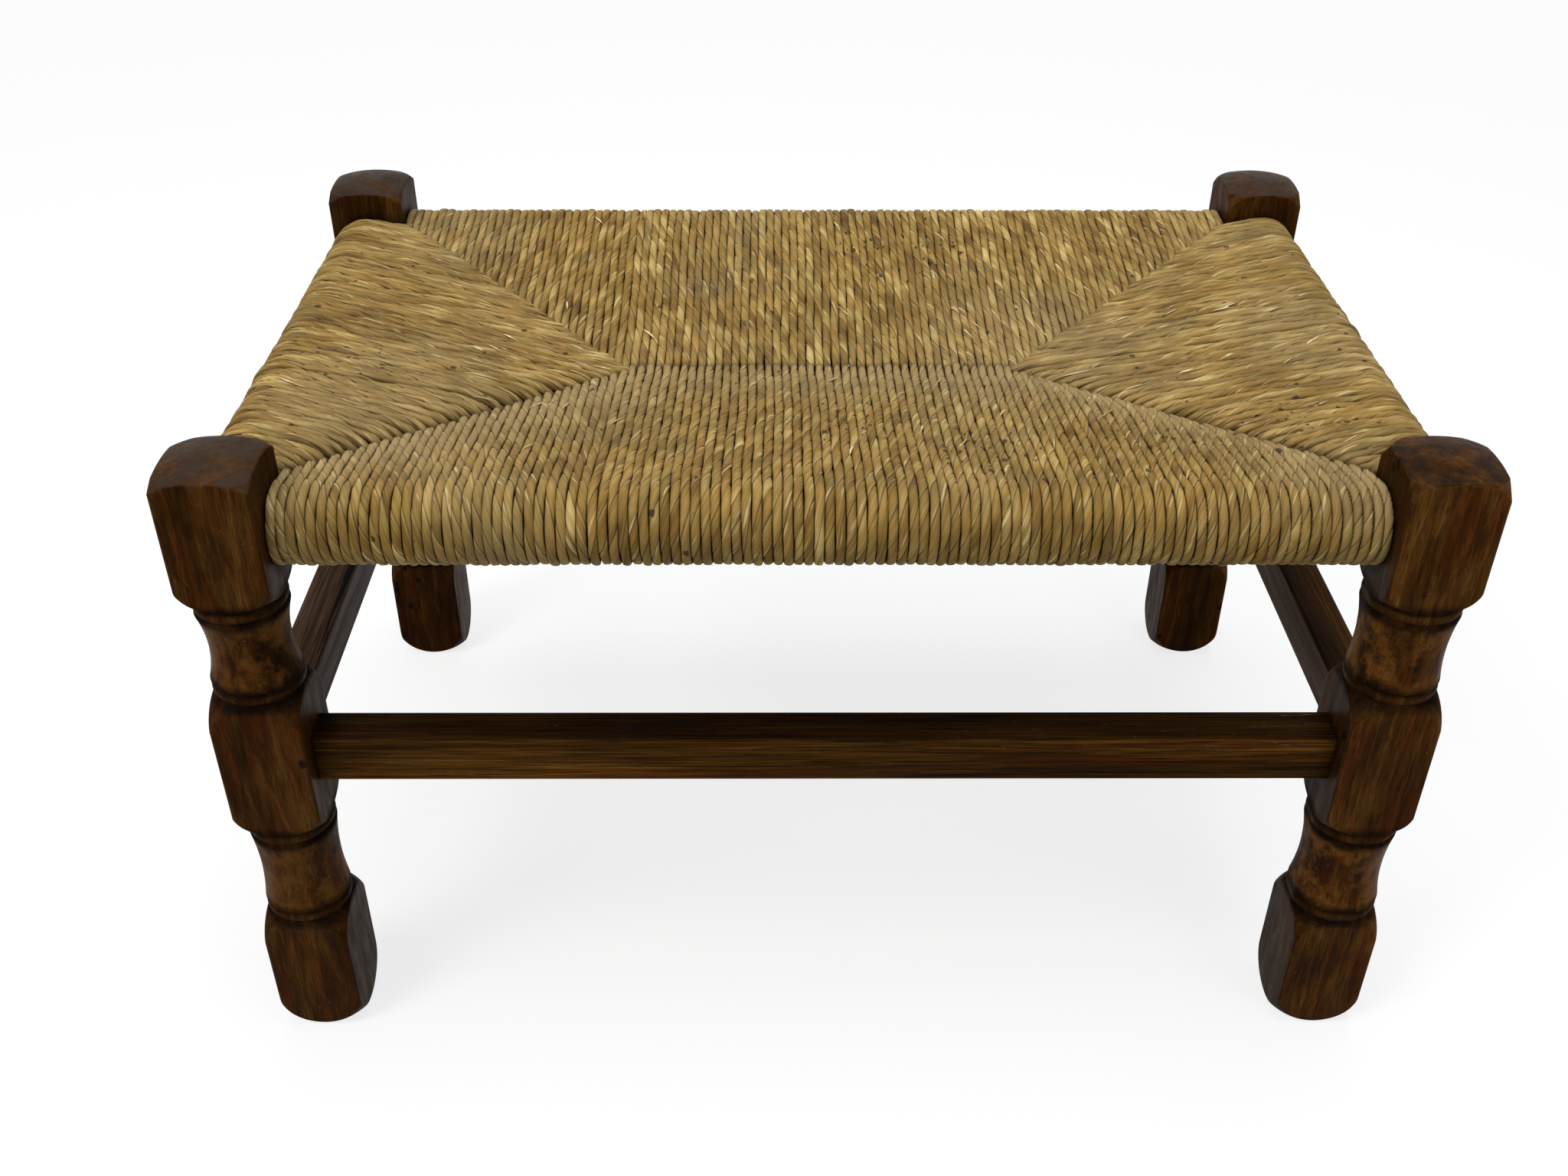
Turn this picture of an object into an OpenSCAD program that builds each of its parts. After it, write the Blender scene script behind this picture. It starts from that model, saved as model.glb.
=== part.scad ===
/* [Overall size] */
// Width over the outer faces of the legs
overall_width = 460; // [400:1:520]
// Depth over the outer faces of the legs
overall_depth = 298; // [260:1:340]
// Height of the legs to the top of their crowns
leg_height = 273; // [268:1:306]

/* [Turned legs] */
// Side of the square leg
leg_side = 34; // [32:0.5:37]
// Radius to which the leg's corners are turned down
corner_radius = 23.6; // [22.2:0.1:24.4]
// Height of the foot block on its flat faces
foot_block_height = 61; // [52:1:68]
// Length of the lower turning, between the foot and the middle block
lower_turning = 50; // [42:1:58]
// Height of the middle block, which takes the stretchers
middle_block_height = 63; // [56:1:70]
// Length of the upper turning, between the middle and the top block
upper_turning = 44; // [38:1:50]
// Radius of the flat base that a foot stands on
foot_base_radius = 15; // [12:0.5:16]
// Height over which a foot rounds in to its base
foot_rounding = 16; // [8:1:24]
// Height of a turned shoulder that rises to a turning
rising_shoulder = 11; // [7:0.5:14]
// Height of a turned shoulder that falls to a turning
falling_shoulder = 8; // [5:0.5:11]
// Diameter over a bead
bead_diameter = 34.4; // [33.6:0.1:36]
// Diameter over the fuller beads of the front right leg
full_bead_diameter = 36; // [34.6:0.1:37]
// Height of a bead with its two grooves
bead_height = 7; // [5:0.5:9]
// Width of the grooves beside a bead
groove_width = 1.3; // [0.8:0.1:2]
// Depth of the grooves beside a bead
groove_depth = 1.2; // [0.6:0.1:2]
// Diameter at the waist of the upper cove
upper_waist_diameter = 29.8; // [27:0.1:32]
// Diameter at the waist of the lower cove
lower_waist_diameter = 31.6; // [28:0.1:33]
// Diameter at both waists of the fuller front right leg
full_waist_diameter = 32.4; // [28:0.1:33]
// How far a turned shoulder swells from a straight slope
shoulder_swell = 1.2; // [0.6:0.1:1.6]
// How far the foot's rounding swells from a straight slope
foot_swell = 2.4; // [1:0.1:2.6]
// Height of a crown's dome above its rim
crown_rise = 3.2; // [1.5:0.1:5]
// Radius of the rim, where a crown's dome ends and the corners fall away
crown_rim_radius = 20; // [18.4:0.2:21.6]
// Drop from the rim of a crown to the leg's corners: front left, front right, back left, back right
crown_drops = [3, 6, 3.5, 5]; // [1:0.5:10]

/* [Seat rails] */
// Diameter of the round seat rails
seat_rail_diameter = 21; // [18:0.5:23]
// Depth of the seat rails' middle line below the top of the legs
seat_rail_below_top = 30.5; // [29.5:0.5:34]
// Height of the side seat rails above the front and back ones
side_rail_lift = 2.5; // [0:0.5:4]
// Distance from the leg's axis in to the front and back seat rails
long_rail_inset = 4.5; // [2:0.5:6]
// Diameter of the round tenons of the seat rails
seat_tenon_diameter = 12; // [10:0.5:13]
// Length of the round tenons of the seat rails
seat_tenon_length = 9.5; // [6:0.5:10]

/* [Stretchers] */
// Height of a stretcher's section
stretcher_height = 20.5; // [16:0.5:24]
// Thickness of a stretcher's section
stretcher_thickness = 17; // [14:0.5:20]
// Radius of the eased edges of a stretcher
stretcher_easing = 1.2; // [0.6:0.1:2.5]
// Height of a stretcher's tenons
stretcher_tenon_height = 14; // [10:0.5:16]
// Thickness of a stretcher's tenons
stretcher_tenon_thickness = 8; // [6:0.5:10]
// Length of a stretcher's tenons
stretcher_tenon_length = 10; // [6:0.5:11]

/* [Rush seat] */
// Distance from one cord to the next
cord_pitch = 3.58; // [3.2:0.02:5]
// Thickness of the layer of cords over a rail
cord_thickness = 4.5; // [3.8:0.1:5]
// Depth of the grooves between the cords
cord_groove_depth = 1.2; // [0.6:0.1:1.6]
// Depth of the hollow in the middle of the seat, below the top of the front roll
seat_sag = 20; // [14:0.5:22]
// Gap left between the top and bottom layers at the middle of the seat
middle_gap = 0.6; // [0.3:0.1:2]
// Least thickness at which the stuffing stops
stuffing_edge = 3; // [1.5:0.5:6]

/* [Clearances] */
// Clearance of a tenon in its mortise, all round and at its end
mortise_clearance = 0.15; // [0.05:0.05:0.3]
// Clearance of the rush from the wood and from the next panel
rush_clearance = 0.3; // [0.2:0.05:0.5]

/* [Hidden] */

leg_colour = [0.29, 0.17, 0.10];
stretcher_colour = [0.36, 0.22, 0.11];
rail_colour = [0.62, 0.47, 0.30];
rush_colour = [0.70, 0.56, 0.33];
stuffing_colour = [0.58, 0.49, 0.32];

// Legs: axes, inner faces and levels
leg_half = leg_side / 2;
leg_x = overall_width / 2 - leg_half;
leg_y = overall_depth / 2 - leg_half;
inner_x = leg_x - leg_half;
inner_y = leg_y - leg_half;
middle_block_base = foot_block_height + lower_turning;
middle_block_top = middle_block_base + middle_block_height;
top_block_base = middle_block_top + upper_turning;

// A crown's dome is part of a sphere, level at the top
crown_rim_z = leg_height - crown_rise;
crown_swell = norm([crown_rim_radius, crown_rise]) / 2 * tan(atan2(crown_rise, crown_rim_radius) / 2);

// Straight steps in the turned outline's short arcs and in its coves
arc_steps = 8;
cove_steps = 12;

// Stretchers run at the middle of the middle blocks
stretcher_z = middle_block_base + middle_block_height / 2;

// Seat rails: middle lines
long_rail_z = leg_height - seat_rail_below_top;
long_rail_y = leg_y - long_rail_inset;
short_rail_z = long_rail_z + side_rail_lift;
short_rail_x = leg_x;

// Rush: a layer of cords over each rail and one under it, which run in and meet at the middle ridge
roll_inner_radius = seat_rail_diameter / 2 + rush_clearance;
roll_radius = roll_inner_radius + cord_thickness;
middle_z = long_rail_z + roll_radius - seat_sag - cord_thickness - middle_gap / 2;
ridge_x = inner_x - inner_y;
long_run = long_rail_y;
short_run = short_rail_x - ridge_x;
cords_front = round(2 * inner_x / cord_pitch);
cords_side = round(2 * inner_y / cord_pitch);

// Straight steps over one cord, the angle by which a roll runs on into its straight layers,
// and the length by which those are made too long, to be cut off at the middle of the seat
cord_steps = 3;
roll_lap = 2;
slack = 20;

// Angle between the level and a layer of cords, which leaves a roll and drops by fall over this run
function layer_angle(fall, run) = atan2(fall, run) + asin(roll_inner_radius / norm([run, fall]));

// Angles of the top layer, down to the middle, and of the bottom layer, up to it
function layer_angles(rail_z, run) =
    [layer_angle(rail_z - middle_z - middle_gap / 2, run),
        layer_angle(middle_z - middle_gap / 2 - rail_z, run)];

// Points of an arc from p to q, which stands out from its chord by bulge, or in where bulge is negative
function bow(p, q, bulge, steps) =
    let (chord = norm(q - p), half = 2 * atan2(2 * bulge, chord))
    let (along = (q - p) / chord, reach = chord / 2 / sin(half))
    [for (i = [0 : steps])
        let (turn = half * (2 * i / steps - 1))
        (p + q) / 2 + along * reach * sin(turn)
        + [along[1], -along[0]] * reach * (cos(turn) - cos(half))];

// A bead between two grooves, from z up
function bead(z, radius) =
    let (groove = radius - groove_depth)
    concat([[radius, z]],
        bow([groove, z + groove_width], [groove, z + bead_height - groove_width], groove_depth, arc_steps),
        [[radius, z + bead_height]]);

// A cove with a bead at each end, between these heights
function cove(base, top, bead_radii, waist_radius) =
    concat(bead(base, bead_radii[0]),
        bow([bead_radii[0], base + bead_height], [bead_radii[1], top - bead_height],
            waist_radius - (bead_radii[0] + bead_radii[1]) / 2, cove_steps),
        bead(top - bead_height, bead_radii[1]));

// A shoulder up from a block's corners to a turning, and one up from a turning to the next block's corners
function shoulder_in(z, radius) =
    bow([corner_radius, z - rising_shoulder], [radius, z], shoulder_swell, arc_steps);
function shoulder_out(z, radius) =
    bow([radius, z], [corner_radius, z + falling_shoulder], shoulder_swell, arc_steps);

// The turned outline, from the foot up, with the radii of its four beads and two waists in that order
function turned_outline(beads, waists, corner_drop) =
    concat([[0, 0]],
        bow([foot_base_radius, 0], [corner_radius, foot_rounding], foot_swell, arc_steps),
        shoulder_in(foot_block_height, beads[0]),
        cove(foot_block_height, middle_block_base, [beads[0], beads[1]], waists[0]),
        shoulder_out(middle_block_base, beads[1]),
        shoulder_in(middle_block_top, beads[2]),
        cove(middle_block_top, top_block_base, [beads[2], beads[3]], waists[1]),
        shoulder_out(top_block_base, beads[3]),
        [[corner_radius, crown_rim_z - corner_drop]],
        bow([crown_rim_radius, crown_rim_z], [0, leg_height], crown_swell, arc_steps));

// A seat rail's tenon, or its mortise where gap isn't 0, into the legs from their inner faces
module round_peg(gap) {
    cylinder(d = seat_tenon_diameter + 2 * gap, h = seat_tenon_length + gap, $fn = 48);
}

// A stretcher's tenon, or its mortise where gap isn't 0, with its height along X
module flat_peg(gap) {
    height = stretcher_tenon_height + 2 * gap;
    thickness = stretcher_tenon_thickness + 2 * gap;
    translate([-height / 2, -thickness / 2, 0]) cube([height, thickness, stretcher_tenon_length + gap]);
}

// One leg: a square post turned between its blocks, with mortises for two seat rails and two stretchers
module leg(side_x, side_y, beads, waists, corner_drop) {
    color(leg_colour)
        difference() {
            translate([side_x * leg_x, side_y * leg_y, 0])
                intersection() {
                    translate([-leg_half, -leg_half, 0]) cube([leg_side, leg_side, leg_height]);
                    rotate_extrude($fn = 96) polygon(turned_outline(beads / 2, waists / 2, corner_drop));
                }
            translate([side_x * inner_x, side_y * long_rail_y, long_rail_z])
                rotate([0, side_x * 90, 0]) round_peg(mortise_clearance);
            translate([side_x * short_rail_x, side_y * inner_y, short_rail_z])
                rotate([0, 90, side_y * 90]) round_peg(mortise_clearance);
            translate([side_x * inner_x, side_y * leg_y, stretcher_z])
                rotate([0, side_x * 90, 0]) flat_peg(mortise_clearance);
            translate([side_x * leg_x, side_y * inner_y, stretcher_z])
                rotate([0, 90, side_y * 90]) flat_peg(mortise_clearance);
        }
}

module slim_leg(side_x, side_y, corner_drop) {
    leg(side_x, side_y, [1, 1, 1, 1] * bead_diameter,
        [lower_waist_diameter, upper_waist_diameter], corner_drop);
}

module front_left_leg() {
    slim_leg(-1, -1, crown_drops[0]);
}

module front_right_leg() {
    leg(1, -1, [full_bead_diameter, full_bead_diameter, bead_diameter, full_bead_diameter],
        [1, 1] * full_waist_diameter, crown_drops[1]);
}

module back_left_leg() {
    slim_leg(-1, 1, crown_drops[2]);
}

module back_right_leg() {
    slim_leg(1, 1, crown_drops[3]);
}

// A round seat rail along X, with a tenon at each end
module seat_rail(half_length) {
    color(rail_colour)
        union() {
            translate([-half_length, 0, 0])
                rotate([0, 90, 0]) cylinder(d = seat_rail_diameter, h = 2 * half_length, $fn = 64);
            for (end = [-1, 1])
                translate([end * half_length, 0, 0]) rotate([0, end * 90, 0]) round_peg(0);
        }
}

module long_seat_rail(side) {
    translate([0, side * long_rail_y, long_rail_z]) seat_rail(inner_x);
}

module short_seat_rail(side) {
    translate([side * short_rail_x, 0, short_rail_z]) rotate([0, 0, 90]) seat_rail(inner_y);
}

module front_seat_rail() {
    long_seat_rail(-1);
}

module back_seat_rail() {
    long_seat_rail(1);
}

module left_seat_rail() {
    short_seat_rail(-1);
}

module right_seat_rail() {
    short_seat_rail(1);
}

// Section of a stretcher with eased edges, its height along X
module stretcher_section() {
    e = stretcher_easing;
    h = stretcher_height / 2;
    t = stretcher_thickness / 2;
    square([2 * h, 2 * (t - e)], center = true);
    square([2 * (h - e), 2 * t], center = true);
    for (x = [-1, 1], y = [-1, 1])
        translate([x * (h - e), y * (t - e)]) circle(r = e, $fn = 24);
}

// A stretcher along X, with a tenon at each end
module stretcher(half_length) {
    color(stretcher_colour)
        union() {
            rotate([0, 90, 0])
                translate([0, 0, -half_length]) linear_extrude(2 * half_length) stretcher_section();
            for (end = [-1, 1])
                translate([end * half_length, 0, 0]) rotate([0, end * 90, 0]) flat_peg(0);
        }
}

module long_stretcher(side) {
    translate([0, side * leg_y, stretcher_z]) stretcher(inner_x);
}

module short_stretcher(side) {
    translate([side * leg_x, 0, stretcher_z]) rotate([0, 0, 90]) stretcher(inner_y);
}

module front_stretcher() {
    long_stretcher(-1);
}

module back_stretcher() {
    long_stretcher(1);
}

module left_stretcher() {
    short_stretcher(-1);
}

module right_stretcher() {
    short_stretcher(1);
}

// Rounded outer side of a row of cords, as points from cord to cord
function cord_scallops(count, step) =
    let (valley = roll_radius - cord_groove_depth, start = -count * step / 2)
    [for (i = [0 : count - 1])
        let (cord = bow([valley, start + i * step], [valley, start + (i + 1) * step],
            cord_groove_depth, cord_steps))
        for (k = [0 : cord_steps - 1]) cord[k]];

// Section of a layer of cords side by side: x runs out from the rail's axis, y along the rail
module cord_layer(count, length) {
    polygon(concat([[roll_inner_radius, length / 2], [roll_inner_radius, -length / 2]],
        cord_scallops(count, length / count),
        [[roll_radius - cord_groove_depth, length / 2]]));
}

// Cords wound under, round and over a rail that runs along X, with the seat's middle towards +Y
module wound_cords(count, length, reach, angles) {
    turn = 180 + angles[0] + angles[1];
    rotate([0, 90, 180])
        rotate([0, 0, -angles[1]]) {
            rotate([90, 0, 0]) linear_extrude(reach) cord_layer(count, length);
            rotate([0, 0, -roll_lap])
                rotate_extrude(angle = turn + 2 * roll_lap, $fn = 72) cord_layer(count, length);
            rotate([90, 0, turn])
                translate([0, 0, -reach]) linear_extrude(reach) cord_layer(count, length);
        }
}

// Plan of the front panel and its stuffing, between the legs and in to the middle ridge
module long_plan(side_gap, seam) {
    x = inner_x - side_gap;
    polygon([[-x, -overall_depth], [x, -overall_depth], [x, -inner_y - seam],
        [ridge_x, -seam], [-ridge_x, -seam], [-x, -inner_y - seam]]);
}

// Plan of the right panel and its stuffing, between the legs and in to the end of the ridge
module short_plan(side_gap, seam) {
    y = inner_y - side_gap;
    polygon([[overall_width, -y], [overall_width, y], [inner_x + seam, y],
        [ridge_x + seam, 0], [inner_x + seam, -y]]);
}

module long_panel() {
    color(rush_colour)
        intersection() {
            translate([0, -long_rail_y, long_rail_z])
                wound_cords(cords_front, 2 * inner_x, long_run + slack, layer_angles(long_rail_z, long_run));
            linear_extrude(leg_height) long_plan(rush_clearance, rush_clearance);
        }
}

module short_panel() {
    color(rush_colour)
        intersection() {
            translate([short_rail_x, 0, short_rail_z])
                rotate([0, 0, 90])
                    wound_cords(cords_side, 2 * inner_y, short_run + slack,
                        layer_angles(short_rail_z, short_run));
            linear_extrude(leg_height) short_plan(rush_clearance, rush_clearance);
        }
}

module front_rush_panel() {
    long_panel();
}

module back_rush_panel() {
    rotate([0, 0, 180]) long_panel();
}

module left_rush_panel() {
    rotate([0, 0, 180]) short_panel();
}

module right_rush_panel() {
    short_panel();
}

// Wedge of stuffing between the layers of cords, along X, from beside the rail in towards +Y
module stuffing_wedge(length, angles) {
    radius = roll_inner_radius - rush_clearance;
    over = radius / cos(angles[0]);
    under = radius / cos(angles[1]);
    near = seat_rail_diameter / 2 + 2 * rush_clearance;
    far = (over + under - stuffing_edge) / (tan(angles[0]) + tan(angles[1]));
    translate([-length / 2, 0, 0])
        rotate([90, 0, 90])
            linear_extrude(length)
                polygon([for (x = [near, far]) [x, x * tan(angles[1]) - under],
                    for (x = [far, near]) [x, over - x * tan(angles[0])]]);
}

module long_stuffing() {
    color(stuffing_colour)
        intersection() {
            translate([0, -long_rail_y, long_rail_z])
                stuffing_wedge(2 * inner_x, layer_angles(long_rail_z, long_run));
            linear_extrude(leg_height) long_plan(2 * rush_clearance, rush_clearance);
        }
}

module short_stuffing() {
    color(stuffing_colour)
        intersection() {
            translate([short_rail_x, 0, short_rail_z])
                rotate([0, 0, 90]) stuffing_wedge(2 * inner_y, layer_angles(short_rail_z, short_run));
            linear_extrude(leg_height) short_plan(2 * rush_clearance, rush_clearance);
        }
}

module front_stuffing() {
    long_stuffing();
}

module back_stuffing() {
    rotate([0, 0, 180]) long_stuffing();
}

module left_stuffing() {
    rotate([0, 0, 180]) short_stuffing();
}

module right_stuffing() {
    short_stuffing();
}

front_left_leg();
front_right_leg();
back_left_leg();
back_right_leg();
front_seat_rail();
back_seat_rail();
left_seat_rail();
right_seat_rail();
front_stretcher();
back_stretcher();
left_stretcher();
right_stretcher();
front_rush_panel();
back_rush_panel();
left_rush_panel();
right_rush_panel();
front_stuffing();
back_stuffing();
left_stuffing();
right_stuffing();
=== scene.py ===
"""Rush-seated footstool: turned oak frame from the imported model, with a modelled seat of twisted rush."""
import math

import bpy
import numpy as np
from mathutils import Euler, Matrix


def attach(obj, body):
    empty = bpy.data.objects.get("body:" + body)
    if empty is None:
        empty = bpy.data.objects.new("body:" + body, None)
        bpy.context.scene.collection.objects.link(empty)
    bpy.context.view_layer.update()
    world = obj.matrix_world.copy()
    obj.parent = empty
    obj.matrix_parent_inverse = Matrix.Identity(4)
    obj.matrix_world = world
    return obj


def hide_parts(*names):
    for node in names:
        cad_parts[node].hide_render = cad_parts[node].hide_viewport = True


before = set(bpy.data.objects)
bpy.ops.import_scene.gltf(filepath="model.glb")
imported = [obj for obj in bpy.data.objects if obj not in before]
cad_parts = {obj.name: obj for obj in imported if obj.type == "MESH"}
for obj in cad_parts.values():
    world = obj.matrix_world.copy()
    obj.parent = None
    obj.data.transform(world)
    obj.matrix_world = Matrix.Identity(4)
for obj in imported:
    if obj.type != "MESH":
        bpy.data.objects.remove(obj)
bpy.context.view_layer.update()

MM, IN_MM = 0.001, 1000.0
scene = bpy.context.scene

# The camera, solved from the photograph's right angles: mm, metres and degrees
SENSOR_WIDTH, LENS = 36.0, 36.39
CAMERA_AT, CAMERA_TURN = (-0.0188, -0.6036, 0.5451), (55.19, -0.15, -0.25)

cam_data = bpy.data.cameras.new("camera")
cam_data.sensor_width, cam_data.lens = SENSOR_WIDTH, LENS
cam_data.clip_start, cam_data.clip_end = 0.01, 50
camera = bpy.data.objects.new("camera", cam_data)
camera.location = CAMERA_AT
camera.rotation_euler = Euler([math.radians(a) for a in CAMERA_TURN])
scene.collection.objects.link(camera)
scene.camera = camera


def rgba(colour):
    """An opaque colour from red, green and blue, or from one number for grey."""
    red, green, blue = colour if isinstance(colour, tuple) else (colour,) * 3
    return red, green, blue, 1.0


def scaled(colour, by):
    """colour times a number, or times one number for each of red, green and blue."""
    factors = by if isinstance(by, tuple) else (by,) * 3
    return tuple(c * k for c, k in zip(colour, factors))


class Nodes:
    """Builds the node tree of a new material or world; sockets are linked, numbers are set."""

    def __init__(self, name, kind=bpy.data.materials):
        self.owner = kind.new(name)
        self.owner.use_nodes = True
        self.tree = self.owner.node_tree
        self.tree.nodes.clear()

    def add(self, kind, inputs=None, out=0, **props):
        """A new node; gives one of its outputs, or the node itself where out is None."""
        node = self.tree.nodes.new(kind)
        for key, value in props.items():
            setattr(node, key, value)
        for key, value in (inputs or {}).items():
            socket = node.inputs[key]
            if isinstance(value, bpy.types.NodeSocket):
                self.tree.links.new(value, socket)
            else:
                socket.default_value = value
        return node.outputs[out] if out is not None else node

    def math(self, op, a, b=0.0, c=0.0, clamp=False):
        return self.add("ShaderNodeMath", {0: a, 1: b, 2: c}, operation=op, use_clamp=clamp)

    def times(self, product, *factors):
        for factor in factors:
            product = self.math("MULTIPLY", product, factor)
        return product

    def plus(self, total, *terms):
        for term in terms:
            total = self.math("ADD", total, term)
        return total

    def weighed(self, *pairs):
        """The sum of values, each times its weight."""
        return self.plus(*[self.times(value, weight) for value, weight in pairs])

    def vector(self, op, a, b=None, out=0):
        """Vector arithmetic. The factor of SCALE has a socket of its own, the fourth."""
        inputs = {0: a}
        if b is not None:
            inputs[3 if op == "SCALE" else 1] = b
        return self.add("ShaderNodeVectorMath", inputs, out=out, operation=op)

    def parts(self, vector):
        """The X, Y and Z of a vector or colour."""
        return self.add("ShaderNodeSeparateXYZ", {0: vector}, out=None).outputs

    def ramp(self, value, stops):
        node = self.add("ShaderNodeValToRGB", {"Fac": value}, out=None)
        ramp = node.color_ramp
        while len(ramp.elements) < len(stops):
            ramp.elements.new(0.5)
        for element, (at, colour) in zip(ramp.elements, stops):
            element.position = at
            element.color = rgba(colour)
        return node.outputs["Color"]

    def fit(self, value, a, b, c=0.0, d=1.0):
        """value from a..b to c..d, held at the ends."""
        return self.add("ShaderNodeMapRange", {"Value": value, 1: a, 2: b, 3: c, 4: d}, clamp=True)

    def mix(self, share, a, b, blend="MIX"):
        """Two colours mixed; 6, 7 and output 2 are the mix node's sockets for colours."""
        return self.add("ShaderNodeMix", {0: share, 6: a, 7: b}, out=2, data_type="RGBA", blend_type=blend)

    def paint(self, colour, share, paint):
        """colour covered with paint, a fixed colour, by this share."""
        return self.mix(share, colour, rgba(paint))

    def tinted(self, colour, value, stops):
        """colour times a ramp of value."""
        return self.mix(1.0, colour, self.ramp(value, stops), "MULTIPLY")

    def noise(self, vector, scale=1.0, detail=3.0, rough=0.55, distortion=0.0, out=0):
        return self.add("ShaderNodeTexNoise", {"Vector": vector, "Scale": scale, "Detail": detail,
                                               "Roughness": rough, "Distortion": distortion}, out=out)

    def cells(self, vector, scale=1.0):
        """Scattered points: the distance to the nearest one, and that one's own random colour."""
        return self.add("ShaderNodeTexVoronoi", {"Vector": vector, "Scale": scale, "Randomness": 1.0},
                        out=None).outputs

    def bump(self, height, strength, depth, **inputs):
        """A normal with relief, depth in mm."""
        return self.add("ShaderNodeBump", {"Strength": strength, "Distance": depth * MM, "Height": height,
                                           **inputs})

    def surface(self, shader, output="ShaderNodeOutputMaterial"):
        self.add(output, {"Surface": shader}, out=None)
        return self.owner

    def shader(self, **inputs):
        bsdf = self.add("ShaderNodeBsdfPrincipled", {k.replace("_", " "): v for k, v in inputs.items()})
        return self.surface(bsdf)

    def seen(self):
        """1 for the rays that show a surface as it looks: the camera's, reflected or through glass."""
        path = self.add("ShaderNodeLightPath", out=None).outputs
        mirrored = self.math("MAXIMUM", path["Is Glossy Ray"], path["Is Transmission Ray"])
        return self.math("MAXIMUM", path["Is Camera Ray"], mirrored)


# For each way of the grain: the two axes across it, then its own
GRAIN = {"X": ("Y", "Z", "X"), "Y": ("Z", "X", "Y"), "Z": ("X", "Y", "Z")}
BLACK = (0.0028, 0.0016, 0.0010)
# painted shade for the faces of a leg that look inwards
INWARD_SHADE = (0.0060, 0.0030, 0.0012)
DARK_TOP = (0.0035, 0.0014, 0.0006)
OLD_WAX = (0.20, 0.15, 0.11)
# grey of bloomed wax and painted sheen on the crowns
GREY_BLOOM_AND_SHEEN = (0.034, 0.025, 0.019)

# Heights on the turned legs, the reach of their wear and of the painted shade in their joints, in mm
BEAD_BASES = (61.0, 104.0, 174.0, 211.0)
BEAD_HEIGHT = 7.0
LEG_HEIGHT = 273.0
CROWN_EDGE = 258.0
ARRIS = 1.9
JOINT_SHADE_REACH = 9
# How far a wood's marks move for each 1 of its seed, in mm
SEED_SHIFT = (37.0, 19.0, 53.0)


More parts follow.
